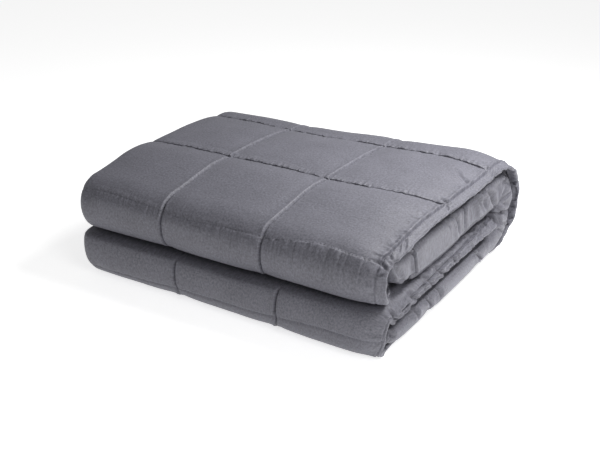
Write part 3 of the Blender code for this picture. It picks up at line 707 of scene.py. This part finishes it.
def cloth_face(name, places, face, start=0.0, end=1e9):
    across, u = places
    at, v = along_places(face)
    keep = (v > start - 1e-6) & (v < end + 1e-6)
    at, v = at[keep], v[keep]
    grid_across, grid_at = np.meshgrid(across, at)
    x, y, z = surface(grid_across, grid_at, face)
    points = np.stack([x, y, z], -1).reshape(-1, 3)
    rows, columns = grid_at.shape
    index = np.arange(rows * columns).reshape(rows, columns)
    a, b, c, d = index[:-1, :-1], index[:-1, 1:], index[1:, 1:], index[1:, :-1]
    quads = np.stack([a, b, c, d] if face < 0 else [a, d, c, b], -1).reshape(-1, 4)
    gu, gv = np.meshgrid(u, v)
    uv = np.stack([gu, gv], -1).reshape(-1, 2)
    return mesh_object(name, points, quads, uv)


# ------------------------------------------------------------------ stitches
STITCH, STITCH_GAP, THREAD = 0.0029, 0.0013, 0.00030


def stitch_places():
    """Each stitch's two ends: (across, at, face) pairs."""
    pitch = STITCH + STITCH_GAP
    ends = []

    def long_line(u, v0, v1, face):
        for v in np.arange(v0, v1 - STITCH, pitch):
            ends.append((u, v, u, v + STITCH, face))

    def over_line(v, u0, u1, face):
        for u in np.arange(u0, u1 - STITCH, pitch):
            ends.append((u, v, u + STITCH, v, face))

    for u in LONG_SEAMS[:4]:
        long_line(u, HEM, V_END - HEM, +1)
    long_line(LONG_SEAMS[0], HEM, V_END - HEM, -1)
    for v in OVER_SEAMS:
        over_line(v, HEM, ACROSS_MARKS[2], +1)
    for v in INNER_SEAMS:
        over_line(v, ACROSS_MARKS[3] - 0.03, ACROSS_MARKS[4] + 0.04, -1)
    return np.array(ends)


def make_stitches():
    ends = stitch_places()
    u0, v0, u1, v1, face = ends.T
    sides, rings = 5, (0.0, 0.12, 0.5, 0.88, 1.0)
    swell = (0.25, 0.80, 1.0, 0.80, 0.25)
    sink = (-0.0005, 0.0000, 0.0004, 0.0000, -0.0005)
    points, count = [], len(ends)
    centre = []
    for share, down in zip(rings, sink):
        u, v = u0 + (u1 - u0) * share, v0 + (v1 - v0) * share
        across = to_place(u, ACROSS_LENGTHS, ACROSS_MARKS)
        at = to_place(v, ALONG_LENGTHS, ALONG_MARKS)
        row = np.empty((count, 3))
        for side in (1, -1):
            pick = face == side
            row[pick] = np.stack(surface(across[pick], at[pick], side, lift=down - 0.0002), -1)
        centre.append(row)
    centre = np.array(centre)                           # rings, stitches, xyz
    run = centre[-1] - centre[0]
    run /= np.linalg.norm(run, axis=1)[:, None]
    up = centre[2] - 0.5 * (centre[1] + centre[3])
    up = np.where(np.linalg.norm(up, axis=1)[:, None] > 1e-9, up, [0, 0, 1.0])
    across_run = np.cross(run, up)
    across_run /= np.maximum(np.linalg.norm(across_run, axis=1)[:, None], 1e-12)
    up = np.cross(across_run, run)
    rows = []
    for k, row in enumerate(centre):
        for s in range(sides):
            turn = 2 * np.pi * s / sides
            rows.append(row + THREAD * swell[k] * (np.cos(turn) * across_run + np.sin(turn) * up))
    points = np.array(rows).transpose(1, 0, 2).reshape(-1, 3)
    faces = []
    for k in range(len(rings) - 1):
        for s in range(sides):
            t = (s + 1) % sides
            faces.append((k * sides + s, k * sides + t, (k + 1) * sides + t, (k + 1) * sides + s))
    faces = np.array(faces)
    each = len(rings) * sides
    quads = (faces[None] + (np.arange(count) * each)[:, None, None]).reshape(-1, 4)
    return mesh_object("blanket_stitches", points, quads)


# ------------------------------------------------------------------ materials
def within(tree, value, rise, fall):
    """1 between two places of a coordinate, fading to 0 outside them."""
    parts = []
    for start, end in (rise, fall):
        part = tree.nodes.new("ShaderNodeMapRange")
        part.interpolation_type = "SMOOTHSTEP"
        part.inputs["From Min"].default_value = start
        part.inputs["From Max"].default_value = end
        tree.links.new(value, part.inputs["Value"])
        parts.append(part)
    both = tree.nodes.new("ShaderNodeMath")
    both.operation = "MULTIPLY"
    tree.links.new(parts[0].outputs["Result"], both.inputs[0])
    tree.links.new(parts[1].outputs["Result"], both.inputs[1])
    return both.outputs["Value"]


def times(tree, first, second):
    both = tree.nodes.new("ShaderNodeMath")
    both.operation = "MULTIPLY"
    tree.links.new(first, both.inputs[0])
    tree.links.new(second, both.inputs[1])
    return both.outputs["Value"]


def wrinkles(tree, uv, normal):
    """The finest wrinkles under the front seams and puckers at the top ones."""
    split = tree.nodes.new("ShaderNodeSeparateXYZ")
    tree.links.new(uv, split.inputs["Vector"])
    upper_seam, lower_seam = float(OVER_SEAMS[2]), float(OVER_SEAMS[8])
    for pitch, rise, fall, sides, depth in (
            (0.0054, (upper_seam - 0.036, upper_seam - 0.014), (upper_seam + 0.001, upper_seam - 0.002),
             ((0.0150, 0.0200), (0.200, 0.180)), 0.0038),
            (0.0050, (upper_seam - 0.020, upper_seam - 0.006), (upper_seam + 0.007, upper_seam + 0.001),
             ((0.180, 0.200), (0.385, 0.370)), 0.0032),
            (0.0050, (lower_seam, lower_seam + 0.003), (lower_seam + 0.020, lower_seam + 0.006),
             ((0.0150, 0.0200), (0.385, 0.370)), 0.0005),
            *((0.0036, (float(OVER_SEAMS[k]) + 0.0004, float(OVER_SEAMS[k]) + 0.0016),
               (float(OVER_SEAMS[k]) + 0.013, float(OVER_SEAMS[k]) + 0.003),
               ((0.0150, 0.0200), (0.385, 0.380)), 0.0026) for k in (3, 4)),
            *((0.0042, (float(OVER_SEAMS[k]) - 0.008, float(OVER_SEAMS[k]) - 0.002),
               (float(OVER_SEAMS[k]) - 0.0004, float(OVER_SEAMS[k]) - 0.0014),
               ((0.0150, 0.0200), (0.385, 0.380)), 0.0010) for k in (3, 4))):
        stretch = node(tree, "ShaderNodeMapping")
        stretch.inputs["Scale"].default_value = (1.0 / pitch, 1.0 / 0.050, 1.0)
        tree.links.new(uv, stretch.inputs["Vector"])
        ridges = node(tree, "ShaderNodeTexNoise", Scale=1.0, Detail=1.0, Roughness=0.5)
        tree.links.new(stretch.outputs["Vector"], ridges.inputs["Vector"])
        mask = times(tree, within(tree, split.outputs["Y"], rise, fall), within(tree, split.outputs["X"], *sides))
        bump = node(tree, "ShaderNodeBump", Strength=0.9, Distance=depth)
        tree.links.new(times(tree, mask, ridges.outputs["Fac"]), bump.inputs["Height"])
        tree.links.new(normal, bump.inputs["Normal"])
        normal = bump.outputs["Normal"]
    return normal


def node(tree, kind, **inputs):
    made = tree.nodes.new(kind)
    for key, value in inputs.items():
        made.inputs[key.replace("_", " ")].default_value = value
    return made


def microfibre(name, color, seed):
    material = bpy.data.materials.new(name)
    material.use_nodes = True
    tree = material.node_tree
    shader = tree.nodes["Principled BSDF"]
    shader.inputs["Roughness"].default_value = 0.60
    shader.inputs["Specular IOR Level"].default_value = 0.52
    shader.inputs["Sheen Weight"].default_value = 0.10
    shader.inputs["Sheen Roughness"].default_value = 0.55
    shader.inputs["Sheen Tint"].default_value = (0.80, 0.80, 0.90, 1.0)
    uv = tree.nodes.new("ShaderNodeUVMap")
    uv.uv_map = "cloth"
    place = node(tree, "ShaderNodeMapping")
    place.inputs["Location"].default_value = (seed, seed * 2.0, 0.0)
    tree.links.new(uv.outputs["UV"], place.inputs["Vector"])
    # Colour: fine fibres, mottled nap, cloudy brushing.
    total = None
    for scale, detail_steps, weight in ((820.0, 2.0, 0.30), (430.0, 2.0, 0.55), (26.0, 4.0, 0.15)):
        texture = node(tree, "ShaderNodeTexNoise", Scale=scale, Detail=detail_steps, Roughness=0.65)
        tree.links.new(place.outputs["Vector"], texture.inputs["Vector"])
        part = tree.nodes.new("ShaderNodeMath")
        part.operation = "MULTIPLY_ADD"
        part.inputs[1].default_value = weight
        part.inputs[2].default_value = 0.0
        tree.links.new(texture.outputs["Fac"], part.inputs[0])
        if total is not None:
            tree.links.new(total.outputs["Value"], part.inputs[2])
        total = part
    ramp = tree.nodes.new("ShaderNodeValToRGB")
    ramp.color_ramp.elements[0].position = 0.30
    ramp.color_ramp.elements[0].color = (*[c * (1.0 - SPREAD) for c in color], 1.0)
    ramp.color_ramp.elements[1].position = 0.70
    ramp.color_ramp.elements[1].color = (*[c * (1.0 + SPREAD) for c in color], 1.0)
    tree.links.new(total.outputs["Value"], ramp.inputs["Fac"])
    tree.links.new(ramp.outputs["Color"], shader.inputs["Base Color"])
    # Relief: plain weave, nap.
    warp = node(tree, "ShaderNodeTexWave", Scale=330.0, Distortion=0.6)
    warp.bands_direction = "X"
    weft = node(tree, "ShaderNodeTexWave", Scale=330.0, Distortion=0.6)
    weft.bands_direction = "Y"
    nap = node(tree, "ShaderNodeTexNoise", Scale=420.0, Detail=3.0, Roughness=0.65)
    rumple = node(tree, "ShaderNodeTexNoise", Scale=90.0, Detail=3.0, Roughness=0.6)
    for texture in (warp, weft, nap, rumple):
        tree.links.new(place.outputs["Vector"], texture.inputs["Vector"])
    weave = tree.nodes.new("ShaderNodeMath")
    weave.operation = "ADD"
    tree.links.new(warp.outputs["Fac"], weave.inputs[0])
    tree.links.new(weft.outputs["Fac"], weave.inputs[1])
    fine = node(tree, "ShaderNodeBump", Strength=0.18, Distance=0.00025)
    tree.links.new(weave.outputs["Value"], fine.inputs["Height"])
    hair = node(tree, "ShaderNodeBump", Strength=0.52, Distance=0.00045)
    tree.links.new(nap.outputs["Fac"], hair.inputs["Height"])
    tree.links.new(fine.outputs["Normal"], hair.inputs["Normal"])
    wide = node(tree, "ShaderNodeBump", Strength=0.45, Distance=0.0014)
    tree.links.new(rumple.outputs["Fac"], wide.inputs["Height"])
    tree.links.new(hair.outputs["Normal"], wide.inputs["Normal"])
    tree.links.new(wrinkles(tree, uv.outputs["UV"], wide.outputs["Normal"]), shader.inputs["Normal"])
    return material


def thread(name, color):
    material = bpy.data.materials.new(name)
    material.use_nodes = True
    tree = material.node_tree
    shader = tree.nodes["Principled BSDF"]
    shader.inputs["Roughness"].default_value = 0.6
    shader.inputs["Specular IOR Level"].default_value = 0.35
    place = tree.nodes.new("ShaderNodeTexCoord")
    twist = node(tree, "ShaderNodeTexNoise", Scale=900.0, Detail=2.0)
    tree.links.new(place.outputs["Object"], twist.inputs["Vector"])
    ramp = tree.nodes.new("ShaderNodeValToRGB")
    ramp.color_ramp.elements[0].position, ramp.color_ramp.elements[0].color = 0.35, (*[c * 0.85 for c in color], 1.0)
    ramp.color_ramp.elements[1].position, ramp.color_ramp.elements[1].color = 0.65, (*[c * 1.15 for c in color], 1.0)
    tree.links.new(twist.outputs["Fac"], ramp.inputs["Fac"])
    tree.links.new(ramp.outputs["Color"], shader.inputs["Base Color"])
    return material


def plain(name, color, roughness, glow=0.0):
    material = bpy.data.materials.new(name)
    material.use_nodes = True
    shader = material.node_tree.nodes["Principled BSDF"]
    shader.inputs["Base Color"].default_value = (*color, 1.0)
    shader.inputs["Roughness"].default_value = roughness
    shader.inputs["Specular IOR Level"].default_value = 0.1
    shader.inputs["Emission Color"].default_value = (1.0, 1.0, 1.0, 1.0)
    shader.inputs["Emission Strength"].default_value = glow
    return material


# ------------------------------------------------------------------ studio
def make_camera():
    azimuth, elevation = math.radians(32.541), math.radians(24.08)
    back = Vector((math.sin(azimuth) * math.cos(elevation),
                   -math.cos(azimuth) * math.cos(elevation), math.sin(elevation)))
    data = bpy.data.cameras.new("camera")
    data.sensor_fit = "HORIZONTAL"
    data.sensor_width = 36.0
    data.lens = 64.90
    data.clip_start, data.clip_end = 0.05, 60.0
    camera = bpy.data.objects.new("camera", data)
    camera.location = (0.62670, -0.98696, 0.56307)
    camera.rotation_mode = "QUATERNION"
    camera.rotation_quaternion = (-back).to_track_quat("-Z", "Y")
    bpy.context.scene.collection.objects.link(camera)
    bpy.context.scene.camera = camera


def area_light(name, place, aim, size, power, color=(1.0, 1.0, 1.0)):
    data = bpy.data.lights.new(name, "AREA")
    data.shape = "DISK"
    data.size = size
    data.energy = power
    data.color = color
    lamp = bpy.data.objects.new(name, data)
    lamp.location = place
    lamp.rotation_mode = "QUATERNION"
    lamp.rotation_quaternion = (Vector(aim) - Vector(place)).to_track_quat("-Z", "Y")
    bpy.context.scene.collection.objects.link(lamp)
    return lamp


def make_studio():
    floor = mesh_object("floor", np.array([(-9, -9, 0), (9, -9, 0), (9, 9, 0), (-9, 9, 0)], float),
                        np.array([(0, 1, 2, 3)]))
    floor.data.materials.append(plain("pale_floor", (0.90, 0.90, 0.90), 0.9, 0.67))
    world = bpy.data.worlds.new("studio")
    world.use_nodes = True
    world.node_tree.nodes["Background"].inputs["Color"].default_value = (1.0, 1.0, 1.0, 1.0)
    world.node_tree.nodes["Background"].inputs["Strength"].default_value = 0.24
    bpy.context.scene.world = world
    area_light("key", (0.30, 0.15, 0.55), (0.0, 0.0, 0.06), 0.4, 5.5)
    area_light("side", (0.78, -0.52, 0.62), (0.0, 0.0, 0.06), 0.5, 2.6)
    bpy.context.scene.view_settings.view_transform = "Standard"
    bpy.context.scene.view_settings.look = "None"


# ------------------------------------------------------------------ make it
make_camera()
make_studio()

FACE_COLOR = (0.108, 0.107, 0.128)
THREAD_COLOR = (0.102, 0.101, 0.118)
SPREAD = 0.60                                           # of the colour, over the fibres
upper = cloth_face("blanket_face_upper", face_places(), +1, 0.0, SPLIT)
lower = cloth_face("blanket_face_lower", face_places(), +1, SPLIT)
back = cloth_face("blanket_back", back_places(), -1)
stitches = make_stitches()
fabric = microfibre("microfibre_face", FACE_COLOR, 0.0)
upper.data.materials.append(fabric)
lower.data.materials.append(fabric)
back.data.materials.append(microfibre("microfibre_back", FACE_COLOR, 0.37))
stitches.data.materials.append(thread("matching_thread", THREAD_COLOR))
for piece in (upper, lower, back, stitches):
    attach(piece, "root")
for piece in (upper, lower, back):
    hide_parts("blanket")

for piece in (upper, lower, back, stitches):
    print(piece.name, len(piece.data.vertices), "points",
          sum(len(p.vertices) - 2 for p in piece.data.polygons), "triangles")
